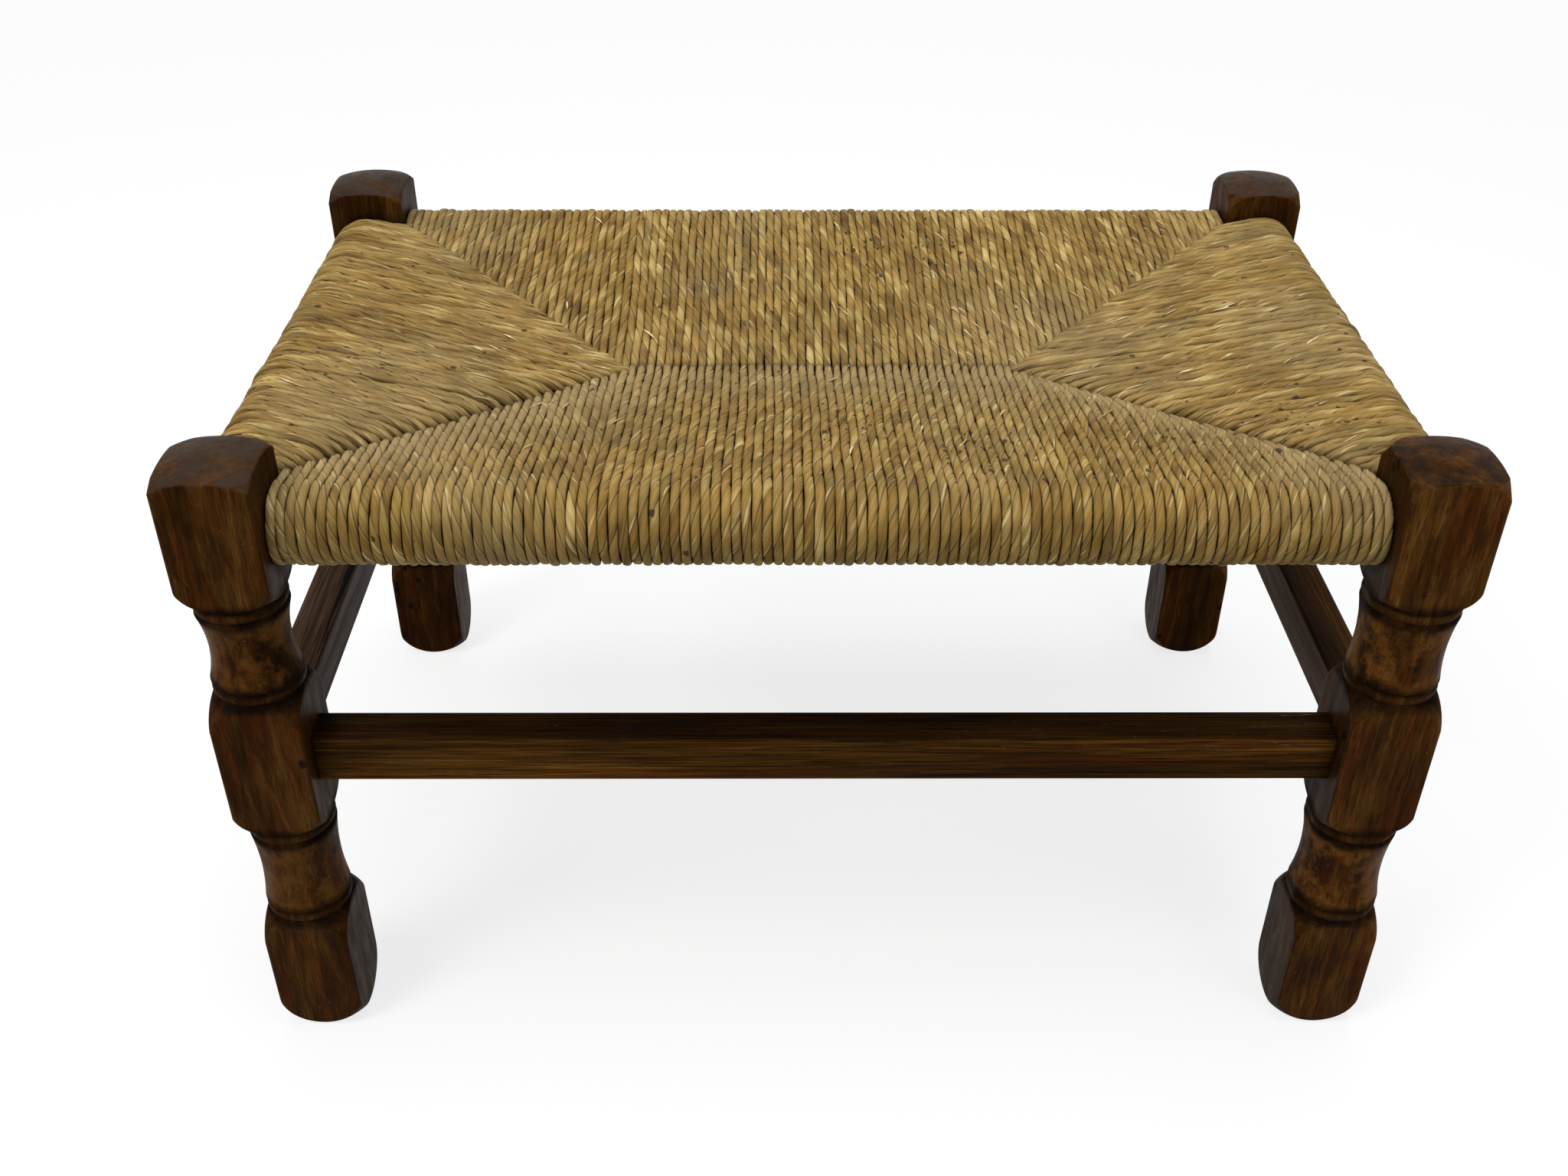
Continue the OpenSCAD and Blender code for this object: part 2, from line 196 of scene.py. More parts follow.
class Wood(Nodes):
    """Stained oak-like wood: the coordinates and the marks of its grain that all its layers share.

    axis is the way of the grain, heart the middle of the tree in mm across it and ring_gap the mm from
    one growth ring to the next. seed moves the marks and length stretches them along the grain."""

    def __init__(self, name, axis, heart, ring_gap, seed, length):
        super().__init__(name)
        here = self.parts(self.add("ShaderNodeTexCoord", out="Object"))
        parts = [self.times(here[a], IN_MM) for a in GRAIN[axis]]
        self.second, self.ahead = parts[1:]
        self.point = self.add("ShaderNodeCombineXYZ", dict(enumerate(parts)))
        self.moved = self.vector("ADD", self.point, scaled(SEED_SHIFT, seed))
        self.length = length
        self.rings = self.growth_rings(heart, ring_gap)
        self.patch = self.noise(self.along(0.055, 0.022), rough=0.5)
        self.fibre = self.noise(self.along(2.4, 0.13), detail=4.0, rough=0.60)
        pores = self.noise(self.along(1.9, 0.15), detail=2.0, rough=0.45)
        self.pore = self.times(self.fit(pores, 0.575, 0.65), self.fit(self.rings, 0.1, 0.7, 0.35, 1.0))
        self.smudge = self.noise(self.point, 0.09, detail=4.0, rough=0.62)
        self.facing = self.add("ShaderNodeNewGeometry", out="Normal")
        self.faced = self.parts(self.facing)
        self.rounded = self.add("ShaderNodeBevel", {"Radius": ARRIS * MM}, samples=8)

    def along(self, across, lengthwise):
        """Coordinates for marks that are this fine across the grain and along it."""
        return self.vector("MULTIPLY", self.moved, (across, across, lengthwise / self.length))

    def growth_rings(self, heart, gap):
        """Rings round the heart, bent a little along the grain."""
        bend = self.noise(self.along(0.02, 0.006), detail=2.0, rough=0.5, out="Color")
        bend = self.vector("SCALE", self.vector("SUBTRACT", bend, (0.5, 0.5, 0.5)), 22.0)
        from_heart = self.vector("ADD", self.vector("SUBTRACT", self.point, (*heart, 0.0)), bend)
        return self.add("ShaderNodeTexWave", {"Vector": from_heart, "Scale": math.pi / 10 / gap,
                                              "Distortion": 1.2, "Detail": 2.0, "Detail Scale": 0.6},
                        out="Fac", wave_type="RINGS", rings_direction="Z", wave_profile="SAW")

    def stain(self, tones, fine):
        """Streaks and patches of three tones, with rings and fibres; fine is the fibres' contrast."""
        dark, mid, light = tones
        streak = self.noise(self.along(0.36, 0.045), detail=5.0, rough=0.60, distortion=0.3)
        body = self.weighed((streak, 0.45), (self.patch, 0.55))
        colour = self.ramp(body, [(0.38, dark), (0.49, mid), (0.62, light)])
        red = self.noise(self.along(0.15, 0.03), detail=2.0, rough=0.5)
        colour = self.paint(colour, self.fit(red, 0.50, 0.64, 0.0, 0.35), scaled(mid, (1.6, 0.80, 0.6)))
        colour = self.tinted(colour, self.rings, [(0.0, 0.78), (0.6, 1.0), (1.0, 1.25)])
        contrast = 0.26 * fine
        return self.tinted(colour, self.fibre, [(0.38, 1 - contrast), (0.50, 1.0), (0.62, 1 + contrast)])

    def bands(self, spans, soft):
        """1 inside the spans of height in mm, 0 outside, with edges this soft."""
        stops = [(0.0, 0.0)]
        for low, high in spans:
            stops += [(low - soft, 0.0), (low, 1.0), (high, 1.0), (high + soft, 0.0)]
        height = self.math("DIVIDE", self.ahead, LEG_HEIGHT)
        return self.ramp(height, [(at / LEG_HEIGHT, level) for at, level in stops])

    def shade_inward_faces(self, colour, inward_shading):
        """Painted shade on the faces turned to the middle of the stool."""
        inwards = self.times(self.faced["X"], math.copysign(1, inward_shading))
        return self.paint(colour, self.fit(inwards, 0.30, 0.75, 0.0, abs(inward_shading)), INWARD_SHADE)

    def rubbed_coves(self, colour, light):
        """The coves are rubbed to a golden brown, crossed by short dark marks of the turning."""
        cove = self.bands([(BEAD_BASES[i] + BEAD_HEIGHT, BEAD_BASES[i + 1]) for i in (0, 2)], 0.5)
        rub = self.fit(self.noise(self.along(0.10, 0.07), detail=4.0, rough=0.65), 0.44, 0.58)
        colour = self.paint(colour, self.times(cove, rub, 0.75), scaled(light, (1.45, 1.35, 1.3)))
        cuts = self.noise(self.along(0.14, 1.1), rough=0.6, distortion=0.8)
        cuts = self.times(self.fit(cuts, 0.58, 0.66), self.fit(self.smudge, 0.48, 0.56), cove, 0.6)
        return self.paint(colour, cuts, BLACK)

    def bead_dirt(self):
        """Where black dirt fills the grooves and spreads round the beads, less on their crests."""
        beads = self.bands([(z - 0.6, z + BEAD_HEIGHT + 0.6) for z in BEAD_BASES], 3.0)
        crests = self.bands([(z + 2.6, z + BEAD_HEIGHT - 2.6) for z in BEAD_BASES], 1.2)
        cleaner = self.math("MULTIPLY_ADD", crests, -0.68, 1.0)
        return self.times(beads, cleaner, self.fit(self.smudge, 0.36, 0.56, 0.62, 1.0))

    def joint_shade_and_dirt(self):
        """Painted shade and dirt in joints and corners, from an occlusion mask made patchy by noise."""
        near = self.add("ShaderNodeAmbientOcclusion", {"Distance": JOINT_SHADE_REACH * MM}, out="AO",
                        samples=8)
        return self.times(self.fit(near, 0.80, 0.40), self.fit(self.smudge, 0.38, 0.60, 0.55, 1.0))

    def split(self, colour, middle, low, high, wide):
        """A ragged split in the upper face, in mm: its middle across, its two ends and half its width."""
        ragged = self.noise(self.along(0.1, 0.12), detail=4.0, rough=0.6)
        off = self.plus(self.second, self.math("MULTIPLY_ADD", ragged, 2.0, -1.0 - middle))
        ends = self.times(self.fit(self.ahead, low, low + 60), self.fit(self.ahead, high, high - 18), wide)
        gaping = self.fit(self.math("SUBTRACT", ends, self.math("ABSOLUTE", off)), -0.25, 0.25)
        return self.paint(colour, self.times(gaping, self.fit(self.faced["Z"], 0.5, 0.9)), BLACK)

    def worn_arrises(self, colour, light):
        turn = self.vector("DOT_PRODUCT", self.facing, self.rounded, out="Value")
        here_and_there = self.fit(self.noise(self.along(0.16, 0.10), detail=4.0, rough=0.7), 0.45, 0.6)
        return self.paint(colour, self.times(self.fit(turn, 0.995, 0.90), here_and_there, 0.5),
                          scaled(light, 1.25))

    def old_wax(self, colour):
        """Small pale scratches and specks."""
        scratch = self.noise(self.along(0.45, 0.14), rough=0.75, distortion=2.5)
        scratch = self.times(self.fit(scratch, 0.665, 0.70), self.fit(self.patch, 0.48, 0.56))
        distance, own = self.cells(self.point, 0.22)[:2]
        speck = self.times(self.fit(distance, 0.075, 0.05), self.fit(self.parts(own)["X"], 0.93, 0.94))
        pale = self.math("MAXIMUM", self.times(scratch, 0.45), self.times(speck, 0.5))
        return self.paint(colour, pale, OLD_WAX)

    def dents(self, colour):
        distance, own = self.cells(self.along(0.16, 0.10))[:2]
        ragged = self.math("MULTIPLY_ADD", self.noise(self.point, 0.9, detail=2.0), 0.4, -0.2)
        dent = self.fit(self.plus(distance, ragged), 0.26, 0.18)
        return self.paint(colour, self.times(dent, self.fit(self.parts(own)["X"], 0.075, 0.070), 0.85), BLACK)

    def crown_bloom_and_sheen(self, colour, bloom_and_sheen):
        """The upward faces of the crowns turn grey: bloomed wax and painted sheen."""
        crown = self.times(self.fit(self.faced["Z"], 0.55, 0.93),
                           self.fit(self.ahead, CROWN_EDGE, CROWN_EDGE + 6.0))
        patchy = self.fit(self.noise(self.point, 0.10, detail=5.0, rough=0.65), 0.38, 0.60, 0.35, 0.85)
        return self.paint(colour, self.times(crown, patchy), scaled(GREY_BLOOM_AND_SHEEN, bloom_and_sheen))

    def relief(self, turned):
        """The normal: pores, fibres and rings, and fine rings from the turning where turned."""
        marks = [(self.fibre, 0.5), (self.pore, -0.9), (self.rings, 0.2), (self.patch, 2.0)]
        if turned:
            marks.append((self.noise(self.along(0.02, 1.0), detail=2.0), 0.5))
        return self.bump(self.weighed(*marks), 0.6, 0.14, Normal=self.rounded)


def wood(name, axis, heart, tones, seed, ring_gap=5.0, length=1.0, fine=1.0, pored=0.8, top_dark=0.62,
         sheen=0.018, crack=None, post=None):
    """A wood in dark, mid and light tones; fine is the contrast of its fibres and pored that of its pores.

    The upper faces of a bar are darker by top_dark, and may have a crack, given as split takes it. A post
    is turned: its two values are how grey its crown is, from bloomed wax and painted sheen, and how much
    painted shade darkens its faces that look inwards, the latter below 0 where inwards is to the left."""
    m = Wood(name, axis, heart, ring_gap, seed, length)
    light = tones[2]
    colour = m.stain(tones, fine)
    if post:
        bloom_and_sheen, inward_shading = post
        # painted shade on the faces that look inwards
        colour = m.shade_inward_faces(colour, inward_shading) if inward_shading else colour
        colour = m.rubbed_coves(colour, light)
    else:
        colour = m.paint(colour, m.fit(m.faced["Z"], 0.3, 0.9, 0.0, top_dark), DARK_TOP)
    if crack:
        colour = m.split(colour, *crack)
    colour = m.worn_arrises(colour, light)
    colour = m.paint(colour, m.times(m.pore, pored), BLACK)
    # painted shade and dirt in joints and corners, and on posts the dirt in the bead grooves
    shade_and_grime = m.joint_shade_and_dirt()
    if post:
        shade_and_grime = m.math("MAXIMUM", shade_and_grime, m.bead_dirt())
    colour = m.paint(colour, m.times(shade_and_grime, 0.93), BLACK)
    colour = m.old_wax(colour)
    if post:
        # bloomed wax and painted sheen on the crowns' upward faces
        colour = m.crown_bloom_and_sheen(m.dents(colour), bloom_and_sheen)
    rough = m.fit(m.noise(m.along(0.2, 0.05), detail=4.0, rough=0.6), 0.38, 0.62, 0.36, 0.52)
    rough = m.math("ADD", rough, m.times(shade_and_grime, 0.25), clamp=True)
    return m.shader(Base_Color=colour, Roughness=rough, Normal=m.relief(post), Specular_IOR_Level=sheen)


def dress(node, material):
    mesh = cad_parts[node].data
    mesh.materials.clear()
    mesh.materials.append(material)


LEG_TONES = ((0.0165, 0.0060, 0.0011), (0.0385, 0.0142, 0.0021), (0.0780, 0.0335, 0.0058))
STRETCHER_TONES = ((0.0150, 0.0056, 0.0008), (0.0440, 0.0175, 0.0022), (0.0950, 0.0420, 0.0058))
WORN_TONES = ((0.0190, 0.0090, 0.0045), (0.0480, 0.0260, 0.0150), (0.0800, 0.0480, 0.0300))
RAIL_TONES = ((0.16, 0.10, 0.05), (0.26, 0.17, 0.09), (0.40, 0.28, 0.16))
RAIL_HEART = (160, 160)

# For each leg: the heart of its tree, how light its stain is, and its two values as a post
LEG_WOODS = {"front_left": ((-275, -60), 1.02, (0.90, 0.45)),
             "front_right": ((150, -205), 1.30, (0.20, -0.62)),
             "back_left": ((-150, 210), 0.80, (1.00, 0.0)),
             "back_right": ((290, 70), 1.10, (1.10, 0.0))}
for number, (corner, (heart, light, post)) in enumerate(LEG_WOODS.items()):
    dress(corner + "_leg", wood(corner + "_leg_wood", "Z", heart, [scaled(tone, light) for tone in LEG_TONES],
                                number + 1.3, pored=0.45, post=post))

# For each stretcher: its grain, the heart of its tree, its tones, how dark its top is and its crack
STRETCHER_WOODS = {"front": ("X", (-190, 205), STRETCHER_TONES, 0.68, None),
                   "back": ("X", (95, 210), STRETCHER_TONES, 0.62, None),
                   "left": ("Y", (190, -280), WORN_TONES, 0.0, (-206.4, -88.0, 90.0, 1.5)),
                   "right": ("Y", (60, 150), STRETCHER_TONES, 0.10, None)}
for number, (side, (axis, heart, tones, top_dark, crack)) in enumerate(STRETCHER_WOODS.items()):
    dress(side + "_stretcher", wood(side + "_stretcher_wood", axis, heart, tones, number + 7.7,
                                    ring_gap=2.6, length=4.0, fine=2.1, top_dark=top_dark, crack=crack))
    dress(side + "_seat_rail", wood(side + "_rail_wood", axis, RAIL_HEART, RAIL_TONES, number + 14.1,
                                    sheen=0.2))

# The tones of the rush, darkest first, and the colours on it or in its folds, with painted highlight and
# shade among them
RUSH_TONES = ((0.34, (0.145, 0.075, 0.015)), (0.43, (0.235, 0.136, 0.028)), (0.50, (0.308, 0.186, 0.042)),
              (0.57, (0.385, 0.246, 0.065)), (0.67, (0.600, 0.438, 0.160)))
OLIVE, ROSY = (0.240, 0.180, 0.058), (0.300, 0.165, 0.046)
FADED, DUST = (0.24, 0.180, 0.088), (0.300, 0.220, 0.106)
# a pale splinter, and the painted highlight on a leaf's edge
SPLINTER, EDGE_HIGHLIGHT = (0.56, 0.45, 0.23), (0.50, 0.39, 0.19)
# painted shadow in a fold, painted shade in the seams between cords and on cord ends that dive under
FOLD_SHADOW, SEAM_SHADE, BURIED_END_SHADE = (0.030, 0.017, 0.005), (0.012, 0.007, 0.003), (0.018, 0.010, 0.004)
FLECK = (0.028, 0.015, 0.006)

# Loose groups of brown flecks, as x, y and reach in mm
FLECK_PATCHES = ((62.0, -92.0, 30.0), (10.0, -70.0, 26.0), (120.0, -84.0, 24.0), (176.0, -78.0, 26.0),
                 (-190.0, -24.0, 22.0), (40.0, 96.0, 34.0))
# How far apart the noise of a cord's two leaves lies, and that of two cords at most
LEAF_SHIFT, CORD_SHIFT = 3.7, 91.0


class Rush(Nodes):
    """Dry twisted rush, on meshes that tell for each point where it lies on its leaf.

    "lay" holds the cosine and sine of its place round the cord and the mm along the cord, "strand" the
    cord's own random number, the place from side to side and the nearness of an end of the cord."""

    def __init__(self, name, streak_length):
        super().__init__(name)
        self.lay, self.strand = (self.parts(self.add("ShaderNodeAttribute", out="Vector", attribute_name=n))
                                 for n in ("lay", "strand"))
        self.point = self.vector("SCALE", self.add("ShaderNodeTexCoord", out="Object"), IN_MM)
        self.leaf = self.times(self.fit(self.lay["Y"], -0.01, 0.01), LEAF_SHIFT)
        self.cord = self.times(self.strand["X"], CORD_SHIFT)
        self.streak = self.noise(self.on_leaf(1.2, 1 / streak_length, 5.0), rough=0.6)
        self.fibre = self.noise(self.on_leaf(5.0, 0.09, 9.0), rough=0.65)
        self.blotch = self.noise(self.point, 0.035, detail=4.0, rough=0.6)

    def on_leaf(self, around, length, offset=0.0):
        """Noise coordinates that run along the leaf as it winds round the cord."""
        a = self.math("MULTIPLY_ADD", self.lay["X"], around, self.cord)
        b = self.math("MULTIPLY_ADD", self.lay["Y"], around, self.plus(self.leaf, offset))
        return self.add("ShaderNodeCombineXYZ", {0: a, 1: b, 2: self.times(self.lay["Z"], length)})

    def leaves(self, level, contrast, streak_share):
        """Each leaf has its own shade, which drifts slowly along it."""
        shade = self.noise(self.on_leaf(0.12, 0.030), detail=2.0, rough=0.5)
        tone = self.weighed((shade, 1 - streak_share), (self.streak, streak_share))
        tone = self.math("MULTIPLY_ADD", tone, contrast, 0.5 - 0.5 * contrast)
        colour = self.ramp(tone, [(at, scaled(rgb, level)) for at, rgb in RUSH_TONES])
        olive = self.noise(self.on_leaf(0.3, 0.02, 17.0), detail=2.0, rough=0.5)
        colour = self.paint(colour, self.fit(olive, 0.52, 0.64, 0.0, 0.45), OLIVE)
        rosy = self.noise(self.on_leaf(0.3, 0.025, 31.0), detail=2.0, rough=0.5)
        colour = self.paint(colour, self.fit(rosy, 0.54, 0.66, 0.0, 0.4), ROSY)
        return self.tinted(colour, self.fibre, [(0.36, 0.76), (0.50, 1.0), (0.64, 1.22)])

    def aged(self, colour, dusty):
        """Blotches, fading, dust towards the cords' ends and pale splinters."""
        colour = self.tinted(colour, self.blotch, [(0.38, (0.80, 0.79, 0.76)), (0.62, (1.15, 1.15, 1.17))])
        fade = self.noise(self.point, 0.011, detail=2.0, rough=0.5)
        colour = self.paint(colour, self.fit(fade, 0.48, 0.62, 0.0, 0.3), FADED)
        dust = self.times(self.fit(self.strand["Z"], 0.05, 0.75, 0.0, dusty),
                          self.fit(self.blotch, 0.36, 0.58, 0.5, 1.0))
        colour = self.paint(colour, dust, DUST)
        splinter = self.noise(self.on_leaf(1.3, 0.060, 60.0), detail=2.0, rough=0.5)
        return self.paint(colour, self.fit(splinter, 0.645, 0.70, 0.0, 0.6), SPLINTER)

    def leaf_edges(self, colour, painted_fold_shadow):
        """Each leaf ends at a thin dark line of painted shadow, beside a painted highlight on the pale edge
        of the next.
        """
        angle = self.math("ARCTAN2", self.lay["Y"], self.lay["X"])
        turn = self.math("FRACT", self.math("MULTIPLY_ADD", angle, 1 / math.pi, 1.0))
        edge = self.times(self.fit(turn, 0.84, 0.93), self.fit(turn, 0.985, 0.95), 0.14)
        colour = self.paint(colour, edge, EDGE_HIGHLIGHT)
        line = self.math("MAXIMUM", self.fit(turn, 0.085, 0.02), self.fit(turn, 0.975, 1.0))
        broken = self.noise(self.on_leaf(0.2, 0.12, 40.0), rough=0.6)
        broken = self.fit(broken, 0.40, 0.56, 0.35, 1.0)
        return self.paint(colour, self.times(line, broken, painted_fold_shadow), FOLD_SHADOW)

    def seams(self, colour, painted_seam_shade, ends):
        """Painted shade: the seam between two cords is nearly black, and so are the cords' ends, from ends[0]
        to [1].
        """
        seam = self.fit(self.math("ABSOLUTE", self.strand["Y"]), 0.84, 1.0)
        colour = self.paint(colour, self.times(seam, painted_seam_shade), SEAM_SHADE)
        return self.paint(colour, self.fit(self.strand["Z"], *ends, 0.0, 0.9), BURIED_END_SHADE)

    def flecks(self, colour, stretch):
        """Brown flecks in loose groups, drawn out where stretch is below 1."""
        where = self.parts(self.point)
        groups = 0.0
        for x, y, reach in FLECK_PATCHES:
            dx, dy = self.math("SUBTRACT", where["X"], x), self.math("SUBTRACT", where["Y"], y)
            away = self.math("SQRT", self.plus(self.times(dx, dx), self.times(dy, dy)))
            groups = self.math("MAXIMUM", groups, self.fit(away, reach, reach * 0.3))
        distance, own = self.cells(self.vector("MULTIPLY", self.point, stretch), 0.34)[:2]
        chance = self.parts(own)
        size = self.math("MULTIPLY_ADD", self.math("POWER", chance["Y"], 2.0), 0.26, 0.20)
        ragged = self.math("MULTIPLY_ADD", self.noise(self.point, 1.1, detail=2.0), 0.36, -0.18)
        fleck = self.fit(self.math("SUBTRACT", size, self.plus(distance, ragged)), -0.01, 0.012)
        wanted = self.plus(chance["X"], self.math("MULTIPLY_ADD", groups, 0.43, -0.975))
        return self.paint(colour, self.times(fleck, self.fit(wanted, 0.0, 0.01), 0.88), FLECK)


def rush_material(name, level, contrast, painted_seam_shade, painted_fold_shadow, streak_length, streak_share, dusty, ends,
                  stretch):
    """One rush: level is its brightness, contrast that of its shades and streak_length in mm.

    The painted shade of seams and folds, the share of the streaks and dusty go up to 1. ends is where
    painted shade turns a cord's end black, as nearness of the end, and stretch draws out the flecks."""
    m = Rush(name, streak_length)
    colour = m.aged(m.leaves(level, contrast, streak_share), dusty)
    # painted shadow and highlight at the leaf edges, painted shade in the seams and at the buried ends
    colour = m.seams(m.leaf_edges(colour, painted_fold_shadow), painted_seam_shade, ends)
    colour = m.flecks(colour, stretch)
    relief = m.weighed((m.fibre, 0.5), (m.streak, 1.6 * streak_share + 0.4))
    return m.shader(Base_Color=colour, Roughness=m.fit(m.streak, 0.4, 0.6, 0.66, 0.50),
                    Normal=m.bump(relief, 0.8, 0.25), Specular_IOR_Level=0.12)


# How the cords are made, in shares of their size or mm. A section spreads past its pitch, is squarer with
# more power, and has a valley and a step where its two leaves meet. The rest is unevenness.
LONG = {"spread": 1.09, "power": 3.0, "valley": 0.095, "step": 0.09, "lift": 0.14, "uneven": 0.04,
        "wander": 0.16, "drift": 1.0, "variety": 0.20}
SHORT = {"spread": 1.14, "power": 3.8, "valley": 0.10, "step": 0.17, "lift": 0.22, "uneven": 0.09,
         "wander": 0.38, "drift": 1.9, "variety": 0.32}
FRONT = dict(LONG, material=rush_material(
    "front_rush", level=0.70, contrast=0.95, painted_seam_shade=0.90, painted_fold_shadow=0.85, streak_length=22.0,
    streak_share=0.30, dusty=0.60, ends=(0.90, 0.94), stretch=(1.0, 0.6, 1.0)))
BACK = dict(LONG, material=rush_material(
    "back_rush", level=0.73, contrast=1.15, painted_seam_shade=0.70, painted_fold_shadow=0.80, streak_length=24.0,
    streak_share=0.22, dusty=0.12, ends=(0.80, 0.88), stretch=(1.0, 0.6, 1.0)))
SIDES = dict(SHORT, material=rush_material(
    "side_rush", level=0.70, contrast=1.2, painted_seam_shade=0.25, painted_fold_shadow=1.0, streak_length=19.0,
    streak_share=0.30, dusty=0.08, ends=(0.83, 0.90), stretch=(0.9, 1.3, 1.3)))

# Seat geometry in mm, as in the part: rails (off the middle, up), cord layer and middle ridge
INNER_X, INNER_Y = 196.0, 115.0
LONG_RAIL, SHORT_RAIL = (127.5, 242.5), (213.0, 245.0)
ROLL_INNER, CORD_THICK = 10.8, 4.5
MIDDLE_Z, MIDDLE_GAP = 233.0, 0.6
RIDGE_X = INNER_X - INNER_Y
CORDS_FRONT, CORDS_SIDE = 109, 64
# Where the front's cords change their lay, as x; the back's do opposite
LAY_CHANGE_X = -83.0

# How a cord's tip turns in between the layers: its bend, the straight end after it and the steps along it
TIP_BEND, TIP_STRAIGHT, TIP_STEP, TIP_TURN = 2.0, 2.4, 1.2, math.radians(80)
# How far from a cord's end it sinks, its lower end tapers, its twist tightens and dust lies on it, the last
# also placing the painted shade of its upper end
SINK_REACH, LOWER_TAPER, TIGHTEN_REACH, DUST_REACH = 8.0, 9.0, 75, 60.0
TIP_LENGTH = 5
# A crease pushes the cords beside it apart, and sags in its middle
CREASE_PUSH, CREASE_REACH, CREASE_SAG, CREASE_WIDTH = 0.5, 5, 0.5, 2.5
LEG_GAP = 0.15
# Steps along a cord, from one ring to the next: over and round the rail, and underneath
STEPS, QUICK_STEPS = (1.5, 3.2), (3.2, 6.0)

# The points round a cord's section, closer together where one of its two leaves meets the other
LEAF = np.array([0.0, 0.18, 0.55, 1.0, 1.57, 2.15, 2.65, 3.0])
AROUND = np.concatenate([LEAF, LEAF + math.pi])


class Panel:
    """One panel of the seat in mm, in a frame of its own: x along the rail, t inwards from it and height.

    rail is the rail's distance from the stool's middle and its height, run the way from it to the ridge
    or the tip, half and ridge half the length of the panel at the rail and at the ridge."""

    def __init__(self, side, quarter_turns, rail, run, half, ridge):
        self.side, self.quarter_turns, self.rail = side, quarter_turns, rail
        self.run, self.half, self.ridge = run, half, ridge
        self.over = self.layer_angle(rail[1] - MIDDLE_Z - MIDDLE_GAP / 2)
        self.under = self.layer_angle(MIDDLE_Z - MIDDLE_GAP / 2 - rail[1])

    def layer_angle(self, fall):
        """The slope of a layer that leaves the roll and falls this far below the rail's middle."""
        return math.atan2(fall, self.run) + math.asin(ROLL_INNER / math.hypot(self.run, fall))

    def place(self, points):
        """Points from the panel's own frame to the stool's axes; the front has no quarter turn."""
        x, y, z = points[..., 0], points[..., 1] - self.rail[0], points[..., 2] + self.rail[1]
        for _ in range(self.quarter_turns):
            x, y = -y, x
        return np.stack([x, y, z], axis=-1)


PANELS = [Panel("front", 0, LONG_RAIL, LONG_RAIL[0], INNER_X, RIDGE_X),
          Panel("back", 2, LONG_RAIL, LONG_RAIL[0], INNER_X, RIDGE_X),
          Panel("right", 1, SHORT_RAIL, SHORT_RAIL[0] - RIDGE_X, INNER_Y, 0.0),
          Panel("left", 3, SHORT_RAIL, SHORT_RAIL[0] - RIDGE_X, INNER_Y, 0.0)]


def add_object(mesh, material):
    mesh.materials.append(material)
    piece = bpy.data.objects.new(mesh.name, mesh)
    scene.collection.objects.link(piece)
    return piece


def add_rush(side, mesh, material):
    piece = add_object(mesh, material)
    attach(piece, "root")
    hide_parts(side + "_rush_panel")


def outward(way, side):
    """The normal of a layer that runs this way, upwards for side 1 and downwards for -1."""
    return np.array([-way[1], way[0]]) * side


def tip(start, along, inward, side):
    """The end of a cord, turned in between the layers from start on, as points and outward normals."""
    line = [(start + TIP_BEND * (along * math.sin(a) + inward * (1 - math.cos(a))),
             along * math.cos(a) + inward * math.sin(a))
            for a in np.linspace(TIP_TURN / 4, TIP_TURN, 4)]
    last, way = line[-1]
    line += [(last + way * d, way) for d in np.arange(TIP_STEP, TIP_STRAIGHT + 0.01, TIP_STEP)]
    return [(p, outward(way, side)) for p, way in line]


def lower_layer(under, radius, reach, step):
    """A cord below the stuffing, from its tip to the roll."""
    way = np.array([math.cos(under), math.sin(under)])
    touch = radius * np.array([math.sin(under), -math.cos(under)])
    length = max((reach - touch[0]) / way[0], 0.5)
    steps = np.linspace(length, 0, max(2, int(round(length / step))), endpoint=False)
    return tip(touch + way * length, way, np.array([-way[1], way[0]]), -1)[::-1] \
        + [(touch + way * d, outward(way, -1)) for d in steps]


def roll(under, over, radius, step):
    """A cord round the rail, from the lower layer to the upper one."""
    start, stop = 1.5 * math.pi + under, 0.5 * math.pi - over
    steps = np.linspace(start, stop, int(round(radius * (start - stop) / step)), endpoint=False)
    normals = [np.array([math.cos(a), math.sin(a)]) for a in steps]
    return [(radius * n, n) for n in normals]


def upper_layer(over, radius, reach, dip, step):
    """A cord above the stuffing, from the roll to its tip, which lies lower by dip."""
    way = np.array([math.cos(over), -math.sin(over)])
    touch = radius * np.array([math.sin(over), math.cos(over)])
    length = max((reach - touch[0]) / way[0], 0.5)
    line = []
    for d in np.linspace(0, length, max(2, int(round(length / step))), endpoint=False):
        drop = dip * max(0.0, 1 - (length - d) / SINK_REACH) ** 2
        line.append((touch + way * d - np.array([0, drop]), outward(way, 1)))
    end = touch + way * length - np.array([0, dip])
    return line + tip(end, way, np.array([way[1], -way[0]]), 1)


def cord_path(panel, reach_top, reach_low, dip, fine, coarse):
    """Middle line of one wrap in the plane across its rail: under, round and over it, tip to tip.

    Gives points (t inwards from the rail, height), outward normals and the distance along."""
    radius = ROLL_INNER + CORD_THICK / 2
    line = lower_layer(panel.under, radius, reach_low, coarse) \
        + roll(panel.under, panel.over, radius, fine) \
        + upper_layer(panel.over, radius, reach_top, dip, fine)
    points, normals = (np.array(column) for column in zip(*line))
    steps = np.linalg.norm(np.diff(points, axis=0), axis=1)
    return points, normals, np.concatenate([[0], np.cumsum(steps)])


def swing(s, wave, phase):
    """A slow swing along a cord, with this many mm to a wave."""
    return np.sin(2 * math.pi * s / wave + phase)


def near_end(left, reach):
    """How near the upper end is: 0 from far off, rising over reach to 1 where the tip begins."""
    return np.clip(1 - (left - TIP_LENGTH) / reach, 0, 1)


